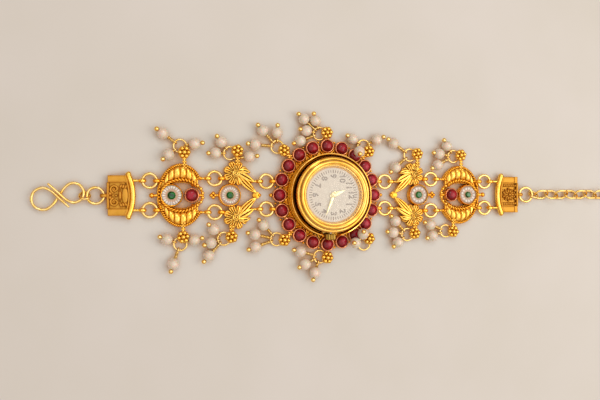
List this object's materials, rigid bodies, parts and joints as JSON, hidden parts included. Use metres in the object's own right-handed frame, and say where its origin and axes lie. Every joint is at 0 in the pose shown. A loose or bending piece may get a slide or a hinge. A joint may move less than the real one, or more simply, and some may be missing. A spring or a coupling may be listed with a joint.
{
  "type": "bracelet watch",
  "caption": "Ornate bracelet watch: round jewelled case between hinged lotus and crescent links with hanging pearl drops, a hook clasp and an extender chain.",
  "frame": {"origin": "centre of the case back's flat face, which rests on the table", "axes": "+X along the opened bracelet towards the extender chain and twelve on the dial, +Y across it towards nine on the dial, +Z out of the dial"},
  "size_m": [0.2209, 0.0574, 0.0113],
  "materials": {
    "gilt_casting": "cast and gilded, satin to bright",
    "gilt_polished": "gold-plated and polished",
    "gilt_wire": "gold-plated drawn wire",
    "gilt_hands": "gold-plated, thin stamped",
    "ruby_glass": "polished red glass paste",
    "green_glass": "polished green glass paste",
    "white_enamel": "cream enamel petals",
    "pearl_and_gilt_wire": "glass pearls on gilt pins",
    "mineral_glass": "clear, polished",
    "white_dial": "matt lacquer",
    "steel_back": "brushed stainless steel",
    "movement_steel": "machined steel",
    "cell_steel": "nickel-plated cell can",
    "holder_plastic": "moulded white plastic"
  },
  "bodies": {
    "watch_head": {"flower_ring": "gilt_casting", "ruby_stones": "ruby_glass", "watch_holder": "gilt_polished", "case_middle": "gilt_polished", "case_back": "steel_back", "bezel": "gilt_polished", "crystal": "mineral_glass", "dial": "white_dial", "movement": "movement_steel", "movement_holder": "holder_plastic", "battery": "cell_steel"},
    "hour_hand": {"hour_hand": "gilt_hands"},
    "minute_hand": {"minute_hand": "gilt_hands"},
    "winding_stem": {"winding_stem": "movement_steel"},
    "crown": {"crown": "gilt_polished"},
    "rings_1_left": {"jump_rings_1_left": "gilt_wire"},
    "rings_2_left": {"jump_rings_2_left": "gilt_wire"},
    "rings_3_left": {"jump_rings_3_left": "gilt_wire"},
    "lotus_left": {"lotus_frame_left": "gilt_casting", "lotus_enamel_left": "white_enamel", "lotus_green_stone_left": "green_glass"},
    "crescent_left": {"crescent_frame_left": "gilt_casting", "crescent_enamel_left": "white_enamel", "crescent_green_stone_left": "green_glass", "crescent_ruby_left": "ruby_glass"},
    "block_left": {"end_block_left": "gilt_casting"},
    "rings_1_right": {"jump_rings_1_right": "gilt_wire"},
    "rings_2_right": {"jump_rings_2_right": "gilt_wire"},
    "rings_3_right": {"jump_rings_3_right": "gilt_wire"},
    "lotus_right": {"lotus_frame_right": "gilt_casting", "lotus_enamel_right": "white_enamel", "lotus_green_stone_right": "green_glass"},
    "crescent_right": {"crescent_frame_right": "gilt_casting", "crescent_enamel_right": "white_enamel", "crescent_green_stone_right": "green_glass", "crescent_ruby_right": "ruby_glass"},
    "block_right": {"end_block_right": "gilt_casting"},
    "clasp_ring": {"clasp_ring": "gilt_wire"},
    "clasp_small_ring": {"clasp_small_ring": "gilt_wire"},
    "s_hook": {"s_hook": "gilt_wire"},
    "chain_ring": {"chain_ring": "gilt_wire"},
    "chain_small_ring": {"chain_small_ring": "gilt_wire"},
    "chain_links_1": {"chain_links_1": "gilt_wire"},
    "chain_links_2": {"chain_links_2": "gilt_wire"},
    "chain_links_3": {"chain_links_3": "gilt_wire"},
    "chain_end": {"chain_end": "gilt_wire"},
    "drops_head_top": {"pearl_drops_head_top": "pearl_and_gilt_wire"},
    "drops_head_top_left": {"pearl_drops_head_top_left": "pearl_and_gilt_wire"},
    "drops_head_bottom_left": {"pearl_drops_head_bottom_left": "pearl_and_gilt_wire"},
    "drops_head_bottom": {"pearl_drops_head_bottom": "pearl_and_gilt_wire"},
    "drops_head_top_right": {"pearl_drops_head_top_right": "pearl_and_gilt_wire"},
    "drops_head_bottom_right": {"pearl_drops_head_bottom_right": "pearl_and_gilt_wire"},
    "drops_lotus_top_left": {"pearl_drops_lotus_top_left": "pearl_and_gilt_wire"},
    "drops_lotus_bottom_left": {"pearl_drops_lotus_bottom_left": "pearl_and_gilt_wire"},
    "drops_crescent_top_left": {"pearl_drops_crescent_top_left": "pearl_and_gilt_wire"},
    "drops_crescent_bottom_left": {"pearl_drops_crescent_bottom_left": "pearl_and_gilt_wire"},
    "drops_lotus_top_right": {"pearl_drops_lotus_top_right": "pearl_and_gilt_wire"},
    "drops_lotus_bottom_right": {"pearl_drops_lotus_bottom_right": "pearl_and_gilt_wire"},
    "drops_crescent_top_right": {"pearl_drops_crescent_top_right": "pearl_and_gilt_wire"},
    "drops_crescent_bottom_right": {"pearl_drops_crescent_bottom_right": "pearl_and_gilt_wire"}
  },
  "joints": [
    {"name": "minute_hand_turn", "type": "hinge", "parent": "watch_head", "child": "minute_hand", "pos_m": [0, 0, 0.0098], "axis": [0, 0, -1], "continuous": true},
    {"name": "hour_hand_turn", "type": "hinge", "parent": "watch_head", "child": "hour_hand", "pos_m": [0, 0, 0.0095], "axis": [0, 0, -1], "continuous": true},
    {"name": "stem_pull", "type": "slide", "parent": "watch_head", "child": "winding_stem", "axis": [0, -1, 0], "range_m": [0, 0.001]},
    {"name": "crown_turn", "type": "hinge", "parent": "winding_stem", "child": "crown", "pos_m": [0, -0.0135, 0.00575], "axis": [0, -1, 0], "continuous": true},
    {"name": "lotus_rings_swing_left", "type": "hinge", "parent": "watch_head", "child": "rings_1_left", "pos_m": [-0.01865, 0, 0.00155], "axis": [0, -1, 0], "range_deg": [-25, 50]},
    {"name": "lotus_swing_left", "type": "hinge", "parent": "rings_1_left", "child": "lotus_left", "pos_m": [-0.02315, 0, 0.00155], "axis": [0, 1, 0], "range_deg": [-50, 25]},
    {"name": "crescent_rings_swing_left", "type": "hinge", "parent": "lotus_left", "child": "rings_2_left", "pos_m": [-0.03585, 0, 0.00155], "axis": [0, -1, 0], "range_deg": [-25, 50]},
    {"name": "crescent_swing_left", "type": "hinge", "parent": "rings_2_left", "child": "crescent_left", "pos_m": [-0.04035, 0, 0.00155], "axis": [0, 1, 0], "range_deg": [-50, 25]},
    {"name": "block_rings_swing_left", "type": "hinge", "parent": "crescent_left", "child": "rings_3_left", "pos_m": [-0.05665, 0, 0.00155], "axis": [0, -1, 0], "range_deg": [-25, 50]},
    {"name": "block_swing_left", "type": "hinge", "parent": "rings_3_left", "child": "block_left", "pos_m": [-0.06115, 0, 0.00155], "axis": [0, 1, 0], "range_deg": [-50, 25]},
    {"name": "lotus_rings_swing_right", "type": "hinge", "parent": "watch_head", "child": "rings_1_right", "pos_m": [0.01865, 0, 0.00155], "axis": [0, 1, 0], "range_deg": [-25, 50]},
    {"name": "lotus_swing_right", "type": "hinge", "parent": "rings_1_right", "child": "lotus_right", "pos_m": [0.02315, 0, 0.00155], "axis": [0, -1, 0], "range_deg": [-50, 25]},
    {"name": "crescent_rings_swing_right", "type": "hinge", "parent": "lotus_right", "child": "rings_2_right", "pos_m": [0.03585, 0, 0.00155], "axis": [0, 1, 0], "range_deg": [-25, 50]},
    {"name": "crescent_swing_right", "type": "hinge", "parent": "rings_2_right", "child": "crescent_right", "pos_m": [0.04035, 0, 0.00155], "axis": [0, -1, 0], "range_deg": [-50, 25]},
    {"name": "block_rings_swing_right", "type": "hinge", "parent": "crescent_right", "child": "rings_3_right", "pos_m": [0.05665, 0, 0.00155], "axis": [0, 1, 0], "range_deg": [-25, 50]},
    {"name": "block_swing_right", "type": "hinge", "parent": "rings_3_right", "child": "block_right", "pos_m": [0.06115, 0, 0.00155], "axis": [0, -1, 0], "range_deg": [-50, 25]},
    {"name": "clasp_ring_swing", "type": "hinge", "parent": "block_left", "child": "clasp_ring", "pos_m": [-0.07305, 0, 0.00155], "axis": [0, -1, 0], "range_deg": [-30, 60]},
    {"name": "clasp_small_ring_swing", "type": "hinge", "parent": "clasp_ring", "child": "clasp_small_ring", "pos_m": [-0.07815, 0, 0.00155], "axis": [0, 1, 0], "range_deg": [-40, 30]},
    {"name": "hook_swing", "type": "hinge", "parent": "clasp_small_ring", "child": "s_hook", "pos_m": [-0.07926, 0, 0.00155], "axis": [0, -1, 0], "range_deg": [-8, 60]},
    {"name": "chain_ring_swing", "type": "hinge", "parent": "block_right", "child": "chain_ring", "pos_m": [0.07305, 0, 0.00155], "axis": [0, 1, 0], "range_deg": [-30, 60]},
    {"name": "chain_small_ring_swing", "type": "hinge", "parent": "chain_ring", "child": "chain_small_ring", "pos_m": [0.07815, 0, 0.00155], "axis": [0, -1, 0], "range_deg": [-40, 30]},
    {"name": "extender_1_swing", "type": "hinge", "parent": "chain_small_ring", "child": "chain_links_1", "pos_m": [0.07953, 0, 0.00155], "axis": [0, 1, 0], "range_deg": [-20, 45]},
    {"name": "extender_2_swing", "type": "hinge", "parent": "chain_links_1", "child": "chain_links_2", "pos_m": [0.09223, 0, 0.00155], "axis": [0, -1, 0], "range_deg": [-45, 20]},
    {"name": "extender_3_swing", "type": "hinge", "parent": "chain_links_2", "child": "chain_links_3", "pos_m": [0.10453, 0, 0.00155], "axis": [0, 1, 0], "range_deg": [-20, 45]},
    {"name": "extender_end_swing", "type": "hinge", "parent": "chain_links_3", "child": "chain_end", "pos_m": [0.11683, 0, 0.00155], "axis": [0, -1, 0], "range_deg": [-45, 20]},
    {"name": "drops_head_top_swing", "type": "hinge", "parent": "watch_head", "child": "drops_head_top", "pos_m": [-0.0003, 0.02106, 0.001], "axis": [0.1219, -0.9925, 0], "range_deg": [-8, 60]},
    {"name": "drops_head_top_left_swing", "type": "hinge", "parent": "watch_head", "child": "drops_head_top_left", "pos_m": [-0.01518, 0.01507, 0.001], "axis": [-0.5, -0.866, 0], "range_deg": [-8, 60]},
    {"name": "drops_head_bottom_left_swing", "type": "hinge", "parent": "watch_head", "child": "drops_head_bottom_left", "pos_m": [-0.01522, -0.01489, 0.001], "axis": [-0.0872, -0.9962, 0], "range_deg": [-8, 60]},
    {"name": "drops_head_bottom_swing", "type": "hinge", "parent": "watch_head", "child": "drops_head_bottom", "pos_m": [-0.0003, -0.02106, 0.001], "axis": [-0.1219, -0.9925, 0], "range_deg": [-8, 60]},
    {"name": "drops_head_top_right_swing", "type": "hinge", "parent": "watch_head", "child": "drops_head_top_right", "pos_m": [0.01474, 0.01516, 0.001], "axis": [-0.788, -0.6157, 0], "range_deg": [-8, 1]},
    {"name": "drops_head_bottom_right_swing", "type": "hinge", "parent": "watch_head", "child": "drops_head_bottom_right", "pos_m": [0.01474, -0.01516, 0.001], "axis": [0.788, -0.6157, 0], "range_deg": [-8, 1]},
    {"name": "drops_lotus_top_left_swing", "type": "hinge", "parent": "lotus_left", "child": "drops_lotus_top_left", "pos_m": [-0.03092, 0.01451, 0.001], "axis": [0.342, -0.9397, 0], "range_deg": [-8, 60]},
    {"name": "drops_lotus_bottom_left_swing", "type": "hinge", "parent": "lotus_left", "child": "drops_lotus_bottom_left", "pos_m": [-0.03299, -0.01369, 0.001], "axis": [0.2588, -0.9659, 0], "range_deg": [-8, 60]},
    {"name": "drops_crescent_top_left_swing", "type": "hinge", "parent": "crescent_left", "child": "drops_crescent_top_left", "pos_m": [-0.04812, 0.01416, 0.001], "axis": [-0.866, -0.5, 0], "range_deg": [-8, 60]},
    {"name": "drops_crescent_bottom_left_swing", "type": "hinge", "parent": "crescent_left", "child": "drops_crescent_bottom_left", "pos_m": [-0.04851, -0.01367, 0.001], "axis": [0.9397, -0.342, 0], "range_deg": [-8, 60]},
    {"name": "drops_lotus_top_right_swing", "type": "hinge", "parent": "lotus_right", "child": "drops_lotus_top_right", "pos_m": [0.03259, 0.01428, 0.001], "axis": [0.1736, -0.9848, 0], "range_deg": [-8, 60]},
    {"name": "drops_lotus_bottom_right_swing", "type": "hinge", "parent": "lotus_right", "child": "drops_lotus_bottom_right", "pos_m": [0.03153, -0.01344, 0.001], "axis": [0.1736, -0.9848, 0], "range_deg": [-8, 60]},
    {"name": "drops_crescent_top_right_swing", "type": "hinge", "parent": "crescent_right", "child": "drops_crescent_top_right", "pos_m": [0.04919, 0.01396, 0.001], "axis": [0.1736, -0.9848, 0], "range_deg": [-8, 60]},
    {"name": "drops_crescent_bottom_right_swing", "type": "hinge", "parent": "crescent_right", "child": "drops_crescent_bottom_right", "pos_m": [0.04615, -0.01295, 0.001], "axis": [-0.0872, -0.9962, 0], "range_deg": [-8, 60]}
  ],
  "couplings": [
    {"joint": "hour_hand_turn", "follows": "minute_hand_turn", "ratio": 0.083333}
  ]
}
